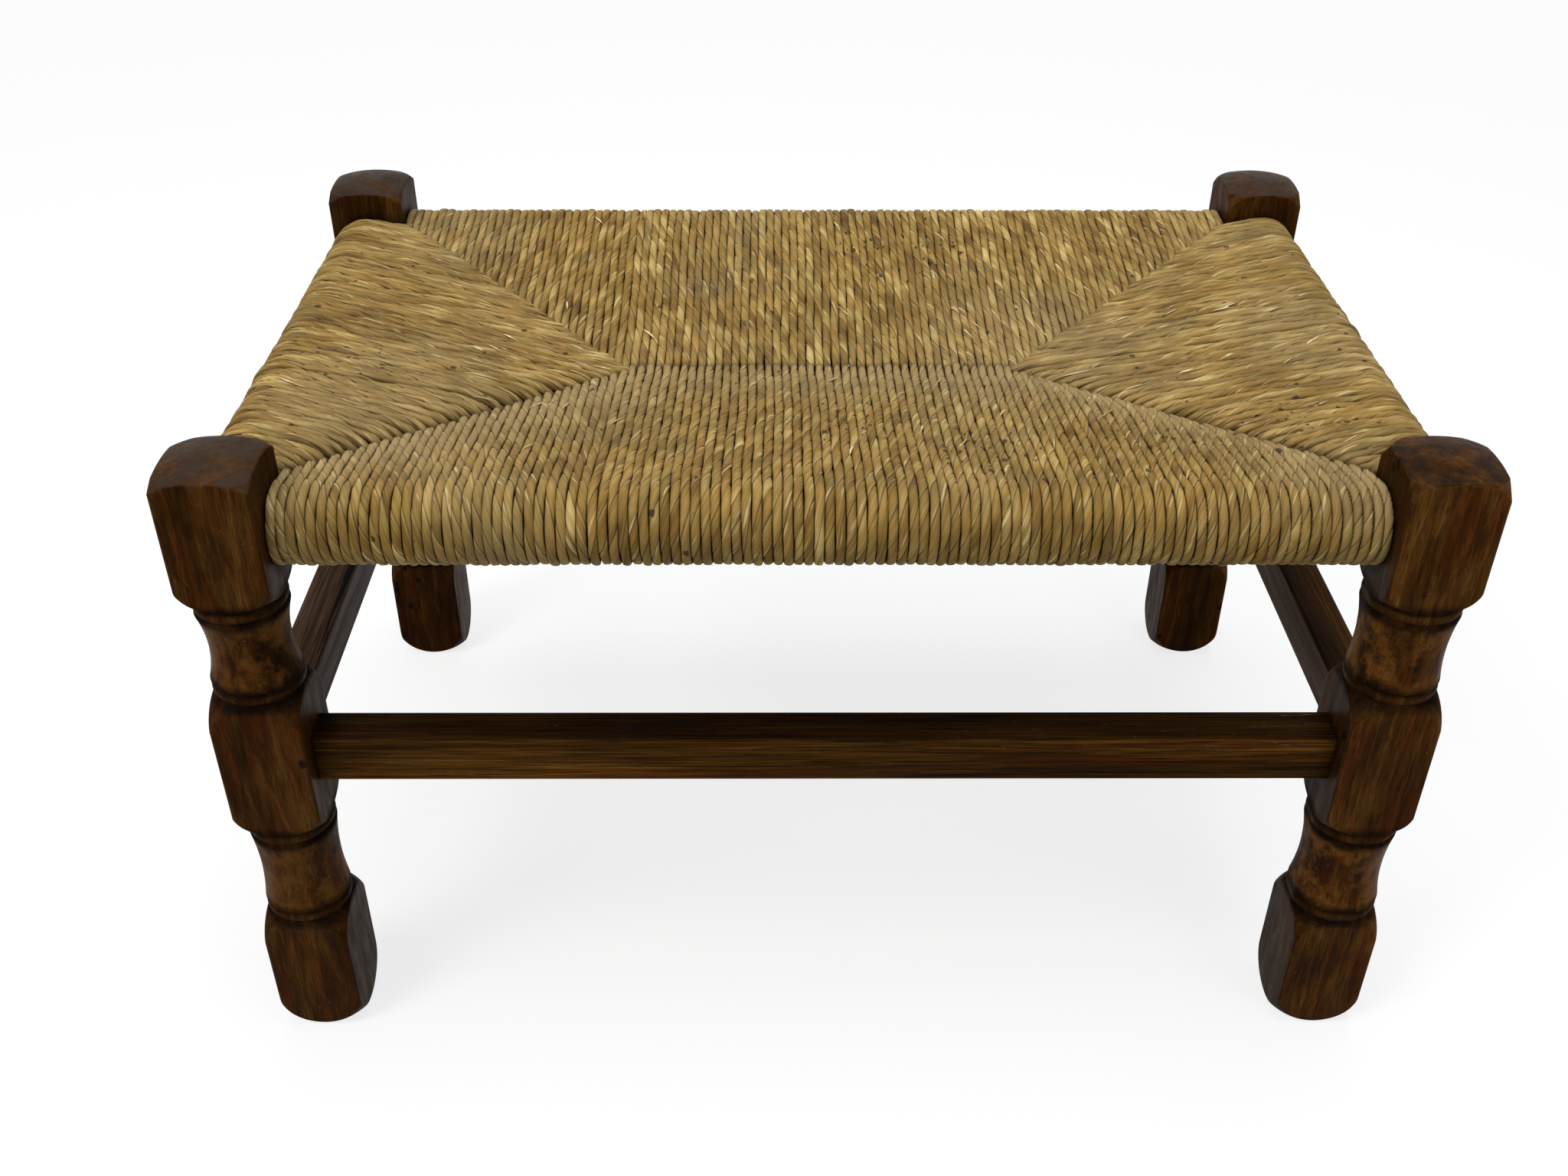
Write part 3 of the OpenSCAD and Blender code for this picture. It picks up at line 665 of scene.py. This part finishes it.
def leaf_bulge(form):
    """How far the section of two leaves stands out at each of its points."""
    part = (AROUND % math.pi) / math.pi
    gap = np.minimum(part, 1 - part) * math.pi
    return 1.02 - form["step"] * (1 - part) - form["valley"] * np.exp(-(gap / 0.28) ** 2)


def cord_rings(x, pitch, path, rng, twist, form, drift, sag, end):
    """Rings of one cord: a section of two leaves that turns as it goes, as x along the rail, t and height.

    With them come the "lay" and "strand" values that the material needs."""
    points, normals, s = path
    phase = rng.uniform(0, 2 * math.pi, 8)
    left = s[-1] - s
    way, lay_length, tighten = twist
    lay_length = lay_length * math.exp(np.clip(rng.normal(0, form["variety"]), -0.45, 0.45))
    rate = 2 * math.pi / lay_length * (1 + tighten * near_end(left, TIGHTEN_REACH))
    turn = phase[0] + way * np.cumsum(rate * np.gradient(s)) + 0.6 * swing(s, 83, phase[1])
    wander = drift(x, s) + form["wander"] * swing(s, 37, phase[2]) \
        + 0.4 * form["wander"] * swing(s, 13, phase[3]) + end["bend"] * near_end(left, end["bend_from"]) ** 2
    taper = np.clip(np.minimum(s / LOWER_TAPER, left / end["taper"]), 0, 1)
    lift = sag + rng.normal(0, form["lift"]) + 0.08 * swing(s, 29, phase[4]) + 0.05 * swing(s, 11, phase[5])
    width = pitch / 2 * form["spread"] * (1 + form["uneven"] * swing(s, 23, phase[6]))
    thick = CORD_THICK / 2 * (1 + 0.8 * form["uneven"] * swing(s, 19, phase[7]))

    angle = AROUND[None, :] + turn[:, None]
    c, d = np.cos(angle), np.sin(angle)
    power = form["power"]
    squarish = (np.abs(c) ** power + np.abs(d) ** power) ** (-1 / power)
    r = squarish * leaf_bulge(form)[None, :] * (0.35 + 0.65 * np.sqrt(taper))[:, None]
    out, side = thick[:, None] * c * r, width[:, None] * d * r
    base = points + normals * (lift * taper)[:, None]
    ring = np.stack([x + wander[:, None] + side, base[:, None, 0] + normals[:, None, 0] * out,
                     base[:, None, 1] + normals[:, None, 1] * out], axis=-1)

    def held(*columns):
        return np.stack([np.broadcast_to(column, side.shape) for column in columns], axis=-1)

    # nearness of an end, which sets both the dust and the painted shade of the ends
    dust = np.clip(1 - np.minimum(s, left + end["clean"]) / DUST_REACH, 0, 1)
    return (ring, held(np.cos(AROUND), np.sin(AROUND), s[:, None]),
            held(rng.random(), side / (pitch / 2), dust[:, None]))


def tube_faces(rings):
    """Corners of the faces of closed tubes, and where each face starts among them."""
    sides = len(AROUND)
    quads, caps, first = [], [], 0
    for ring, _, _ in rings:
        n = ring.shape[0]
        grid = first + np.arange(n * sides).reshape(n, sides)
        a, b = grid[:-1], np.roll(grid[:-1], -1, axis=1)
        c, d = np.roll(grid[1:], -1, axis=1), grid[1:]
        quads.append(np.stack([a, b, c, d], axis=-1).reshape(-1, 4))
        caps += [grid[0][::-1], grid[-1]]
        first += n * sides
    quads, caps = np.concatenate(quads), np.array(caps)
    starts = np.concatenate([np.arange(len(quads)) * 4, len(quads) * 4 + np.arange(len(caps)) * sides])
    return np.concatenate([quads.ravel(), caps.ravel()]), starts


def mesh_from_rings(name, rings):
    """A mesh of closed tubes from (ring, lay, strand) triples."""
    verts, lay, strand = (np.concatenate([part[k].reshape(-1, 3) for part in rings]) for k in range(3))
    corners, starts = tube_faces(rings)
    mesh = bpy.data.meshes.new(name)
    mesh.vertices.add(len(verts))
    mesh.vertices.foreach_set("co", (verts * MM).astype(np.float32).ravel())
    mesh.loops.add(len(corners))
    mesh.loops.foreach_set("vertex_index", corners.astype(np.int32))
    mesh.polygons.add(len(starts))
    mesh.polygons.foreach_set("loop_start", starts.astype(np.int32))
    mesh.polygons.foreach_set("use_smooth", np.ones(len(starts), dtype=bool))
    mesh.update(calc_edges=True)
    for label, values in (("lay", lay), ("strand", strand)):
        attribute = mesh.attributes.new(label, "FLOAT_VECTOR", "POINT")
        attribute.data.foreach_set("vector", values.astype(np.float32).ravel())
    mesh.validate()
    return mesh


def shared_drift(amount, waves, crease):
    """A slow sideways drift that neighbouring cords share, and a gap where there is a crease."""
    def drift(x, s):
        swings = 0.28 * np.sin(x / 17 + s / 31 + waves[0]) + 0.22 * np.sin(x / 41 - s / 19 + waves[1])
        swings = swings * amount
        if crease is None:
            return swings
        return swings + CREASE_PUSH * np.sign(x - crease) * math.exp(-abs(x - crease) / CREASE_REACH)
    return drift


def rush_panel(panel, count, form, lay, seed, groups, ends, crease=None):
    """All the wraps of one panel. ends tells how they meet the left seam, the ridge and the right seam."""
    rng = np.random.default_rng(seed)
    waves = rng.uniform(0, 2 * math.pi, 4)
    drift = shared_drift(form["drift"], waves, crease)
    half, ridge = panel.half, panel.ridge
    pitch = 2 * half / count
    fine, coarse = STEPS
    cords = []
    for i in range(count):
        x = (i + 0.5) * pitch - half
        end = dict(ends[1] if abs(x) < ridge else ends[0] if x < 0 else ends[2])
        # no tip tapers like the one beside it, and near a leg or the ridge there is little room to bend
        end["taper"] *= 1 + 0.35 * math.sin(2.4 * i)
        end["bend"] *= min(1.0, (half - abs(x)) / 25, max(0.0, abs(x) - ridge) / 20)
        # the upper ends follow the seam unevenly, and the lower ones stop just short of it
        reach = panel.run - max(0.0, abs(x) - ridge)
        top = panel.run - max(0.0, abs(x + end["bend"]) - ridge) + rng.normal(end["overlap"], end["ragged"])
        top += 1.6 * end["ragged"] * math.sin(x / 19 + waves[2]) * math.sin(x / 7 + waves[3])
        path = cord_path(panel, top, reach + rng.normal(-0.4, 0.3), end["dip"], fine, coarse)
        sag = -CREASE_SAG * math.exp(-((x - crease) / CREASE_WIDTH) ** 2) if crease is not None else 0.0
        ring, lays, strand = cord_rings(x, pitch, path, rng, lay(x), form, drift, sag, end)
        ring[..., 0] = np.clip(ring[..., 0], LEG_GAP - half, half - LEG_GAP)
        cords.append((panel.place(ring), lays, strand))
    for g in range(groups):
        part = cords[g * count // groups:(g + 1) * count // groups]
        add_rush(panel.side, mesh_from_rings(f"{panel.side}_rush_cords_{g + 1}", part), form["material"])


# How the upper ends of cords lie, in mm: dip below the sheet, overlap past the seam, a sideways bend over
# the last stretch, the taper of the tip, the spread of the overlap and how much less dust and painted shade
# lie on their ends
END = {"dip": 0.0, "overlap": 0.5, "bend": 0.0, "bend_from": 30.0, "taper": 9.0, "ragged": 0.35, "clean": 0.0}
FRONT_SEAM = dict(END, dip=-0.5, overlap=0.8, taper=11.0)
BACK_SEAM = dict(END, dip=1.8, overlap=-0.6, taper=13.0, clean=4.5)
SIDE_SEAM = dict(END, dip=-0.3, overlap=0.8, clean=5.0)

front, back, right, left = PANELS
# Lay: which way the cord is twisted, its lay length in mm and how much it tightens towards the seam
rush_panel(front, CORDS_FRONT, FRONT, lambda x: (-1 if x < LAY_CHANGE_X else 1, 28.0, 0.45), 11, 4,
           (FRONT_SEAM, dict(END, dip=-2.4, overlap=2.0, taper=13.0, ragged=0.95),
            dict(FRONT_SEAM, bend=-4.0, bend_from=18.0)))
rush_panel(back, CORDS_FRONT, BACK, lambda x: (1 if x > -LAY_CHANGE_X else -1, 29.0, 0.1), 23, 4,
           (BACK_SEAM, dict(END, dip=2.6, overlap=-1.4, taper=20.0), BACK_SEAM))
rush_panel(right, CORDS_SIDE, SIDES, lambda x: (-1, 38.0 if x < 0 else 44.0, 0.0), 37, 2,
           (dict(END, dip=1.6, overlap=0.0, bend=-3.5, bend_from=32.0, taper=13.0), END, SIDE_SEAM),
           crease=-7.0)
rush_panel(left, CORDS_SIDE, SIDES, lambda x: (1, 35.0 if x > 0 else 46.0, 0.0), 51, 2,
           (SIDE_SEAM, END, dict(END, dip=2.6, overlap=-0.4, bend=7.0, bend_from=27.0, taper=17.0)))


def sliver_material():
    m = Nodes("dry_slivers")
    point = m.vector("SCALE", m.add("ShaderNodeTexCoord", out="Object"), IN_MM)
    shade = m.noise(point, 0.16, detail=2.0)
    fine = m.noise(point, 2.4)
    colour = m.ramp(m.weighed((shade, 0.7), (fine, 0.3)),
                    [(0.40, (0.30, 0.20, 0.075)), (0.52, (0.46, 0.34, 0.155)), (0.64, (0.70, 0.58, 0.36))])
    return m.shader(Base_Color=colour, Roughness=0.55, Normal=m.bump(fine, 0.5, 0.1), Specular_IOR_Level=0.2)


SLIVERS = sliver_material()
# Sections of a sliver: place along it, share of its width and lift in mm; then the corners of a section
BLADE = ((-1.0, 0.06, -0.35), (-0.6, 0.7, 0.06), (-0.1, 1.0, 0.16), (0.5, 0.75, 0.12), (1.0, 0.05, -0.30))
DIAMOND = ((-1, 0), (0, -0.14), (1, 0), (0, 0.14))


def sliver(panel, rng, way):
    """Points of one thin blade, with its middle anywhere on the upper layer."""
    t = rng.uniform(6, panel.run - 8)
    seam = panel.half - 8 - max(0.0, t - (panel.run - panel.half + panel.ridge))
    x = rng.uniform(-1, 1) * max(seam, 2.0)
    length, wide = rng.uniform(3.0, 6.5), rng.uniform(0.28, 0.55)
    heading = math.pi / 2 + way * rng.uniform(0.1, 0.7)
    ahead, across = (math.cos(heading), math.sin(heading)), (-math.sin(heading), math.cos(heading))
    bow = rng.uniform(-0.10, 0.10)
    points = []
    for where, share, lift in BLADE:
        cx = x + length * (where * ahead[0] + bow * where ** 2 * across[0])
        ct = t + length * (where * ahead[1] + bow * where ** 2 * across[1])
        surface = (ROLL_INNER + CORD_THICK) / math.cos(panel.over) - ct * math.tan(panel.over) + lift
        points += [(cx + u * wide * share * across[0], ct + u * wide * share * across[1], surface + v * share)
                   for u, v in DIAMOND]
    return points


def blade_faces(first):
    """Faces of a closed blade whose points start at this number."""
    faces = []
    for k in range(len(BLADE) - 1):
        for j in range(4):
            a, b = first + 4 * k + j, first + 4 * k + (j + 1) % 4
            faces.append((a, b, b + 4, a + 4))
    last = first + 4 * (len(BLADE) - 1)
    return faces + [(first + 3, first + 2, first + 1, first), (last, last + 1, last + 2, last + 3)]


def rush_slivers(panel, way, seed, count):
    """Loose splinters of leaf that have lifted from the cords."""
    rng = np.random.default_rng(seed)
    verts, faces = [], []
    for _ in range(count):
        faces += blade_faces(len(verts))
        verts += sliver(panel, rng, way)
    mesh = bpy.data.meshes.new(panel.side + "_rush_slivers")
    mesh.from_pydata((panel.place(np.array(verts)) * MM).tolist(), [], faces)
    add_rush(panel.side, mesh, SLIVERS)


for panel, way, seed, count in zip(PANELS, (-1, 1, 1, -1), (71, 72, 73, 74), (15, 14, 13, 13)):
    rush_slivers(panel, way, seed, count)


def stuffing_material():
    m = Nodes("rush_offcuts")
    point = m.vector("MULTIPLY", m.add("ShaderNodeTexCoord", out="Object"), (1000.0, 160.0, 700.0))
    straw = m.noise(point, 0.35, detail=5.0, rough=0.65, distortion=1.5)
    # offcuts in tones darker than the rush's own: partly painted shade for where the stuffing shows between
    # cords
    colour = m.ramp(straw, [(0.3, (0.03, 0.018, 0.007)), (0.5, (0.09, 0.058, 0.024)),
                            (0.7, (0.20, 0.135, 0.060))])
    return m.shader(Base_Color=colour, Roughness=0.85, Normal=m.bump(straw, 0.8, 0.5), Specular_IOR_Level=0.2)


STUFFING = stuffing_material()
# The stuffing in mm: its surface's radius at the rail, its nearest edge and the least gap that it fills
PAD_INNER, PAD_NEAR, PAD_LEAST = ROLL_INNER - 0.5, 12.0, 3.0
PAD_ROWS, PAD_COLUMNS = 22, 64


def pad_sheets(panel, lumps):
    """Points of the upper and lower sheet, row by row from the rail inwards."""
    over, under = panel.over, panel.under
    closing = math.tan(over) + math.tan(under)
    far = (PAD_INNER / math.cos(over) + PAD_INNER / math.cos(under) - PAD_LEAST) / closing - 1.5
    top, low = [], []
    for r in range(PAD_ROWS + 1):
        t = PAD_NEAR + (far - PAD_NEAR) * r / PAD_ROWS
        wide = panel.half - 1.0 - max(0.0, t - (panel.run - (panel.half - panel.ridge)))
        high_line = PAD_INNER / math.cos(over) - t * math.tan(over)
        low_line = -PAD_INNER / math.cos(under) + t * math.tan(under)
        middle, thick = (high_line + low_line) / 2, (high_line - low_line) / 2
        for c in range(PAD_COLUMNS + 1):
            x = wide * (2 * c / PAD_COLUMNS - 1)
            edge = min(1.0, (wide - abs(x)) / 5.0, (t - PAD_NEAR) / 4.0 + 0.25, (far - t) / 4.0 + 0.3)
            lump = 0.90 + 0.05 * math.sin(x / 7 + lumps[0] + t / 11) \
                + 0.05 * math.sin(t / 5 + lumps[1] - x / 13)
            full = thick * (0.35 + 0.65 * math.sqrt(max(edge, 0.0))) * lump
            top.append((x, t, middle + full))
            low.append((x, t, middle - full))
    return top, low


def pad_faces():
    """Faces of the two sheets, and of the strip that joins their rims."""
    faces, w = [], PAD_COLUMNS + 1
    layer = (PAD_ROWS + 1) * w
    for r in range(PAD_ROWS):
        for c in range(PAD_COLUMNS):
            a = r * w + c
            faces.append((a, a + 1, a + w + 1, a + w))
            faces.append((layer + a, layer + a + w, layer + a + w + 1, layer + a + 1))
    rim = list(range(w)) + [r * w + PAD_COLUMNS for r in range(1, PAD_ROWS + 1)] \
        + [PAD_ROWS * w + c for c in range(PAD_COLUMNS - 1, -1, -1)] \
        + [r * w for r in range(PAD_ROWS - 1, 0, -1)]
    return faces + [(b, a, layer + a, layer + b) for a, b in zip(rim, rim[1:] + rim[:1])]


def stuffing_pad(panel, seed):
    """A lumpy wedge between the layers of one panel, crowned where the cords press it least."""
    rng = np.random.default_rng(seed)
    top, low = pad_sheets(panel, rng.uniform(0, 2 * math.pi, 2))
    mesh = bpy.data.meshes.new(panel.side + "_stuffing_pad")
    mesh.from_pydata((panel.place(np.array(top + low)) * MM).tolist(), [], pad_faces())
    mesh.polygons.foreach_set("use_smooth", np.ones(len(mesh.polygons), dtype=bool))
    piece = add_object(mesh, STUFFING)
    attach(piece, "root")
    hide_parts(panel.side + "_stuffing")


for seed, panel in enumerate(PANELS, start=3):
    stuffing_pad(panel, seed)

FLOOR_REACH = 8.0


def floor_material():
    """White with soft shadows near the stool and plain white far off; dull for the light it throws back."""
    m = Nodes("pale_floor")
    matt = m.add("ShaderNodeBsdfDiffuse", {"Color": rgba(1.0)})
    white = m.add("ShaderNodeEmission", {"Color": rgba(1.0), "Strength": 1.0})
    away = m.vector("LENGTH", m.add("ShaderNodeTexCoord", out="Object"), out="Value")
    shown = m.add("ShaderNodeMixShader", {0: m.fit(away, 0.7, 2.6, 0.78, 1.0), 1: matt, 2: white})
    dull = m.add("ShaderNodeBsdfDiffuse", {"Color": rgba(0.50)})
    return m.surface(m.add("ShaderNodeMixShader", {0: m.seen(), 1: dull, 2: shown}))


floor_mesh = bpy.data.meshes.new("floor")
FLOOR_CORNERS = [(x * FLOOR_REACH, y * FLOOR_REACH, 0) for x, y in ((-1, -1), (1, -1), (1, 1), (-1, 1))]
floor_mesh.from_pydata(FLOOR_CORNERS, [], [(0, 1, 2, 3)])
floor = add_object(floor_mesh, floor_material())


def studio_world():
    """Plain white where it is seen, a faint cool light elsewhere."""
    m = Nodes("studio", bpy.data.worlds)
    soft = m.add("ShaderNodeBackground", {"Color": rgba((0.93, 0.97, 1.0)), "Strength": 0.27})
    plain = m.add("ShaderNodeBackground", {"Color": rgba(1.0), "Strength": 1.0})
    return m.surface(m.add("ShaderNodeMixShader", {0: m.seen(), 1: soft, 2: plain}), "ShaderNodeOutputWorld")


scene.world = studio_world()


def lamp(name, at, target, size, energy, colour=(1.0, 1.0, 1.0)):
    """A round area light at a point, turned to its target; metres and watts."""
    data = bpy.data.lights.new(name, "AREA")
    data.shape, data.size, data.energy, data.color = "DISK", size, energy, colour
    obj = bpy.data.objects.new(name, data)
    obj.location = at
    away = [a - b for a, b in zip(at, target)]
    flat = math.hypot(away[0], away[1])
    obj.rotation_euler = Euler((math.atan2(flat, away[2]), 0, math.atan2(away[0], -away[1])))
    scene.collection.objects.link(obj)


lamp("key", (-1.3, -1.1, 2.1), (0, 0, 0.2), 1.0, 34, (1.0, 0.98, 0.95))
lamp("top", (0.1, 0.2, 2.2), (0, 0, 0.2), 1.5, 32)
lamp("fill", (1.2, -1.5, 1.1), (0, 0, 0.15), 1.0, 7)

scene.view_settings.view_transform = "Standard"
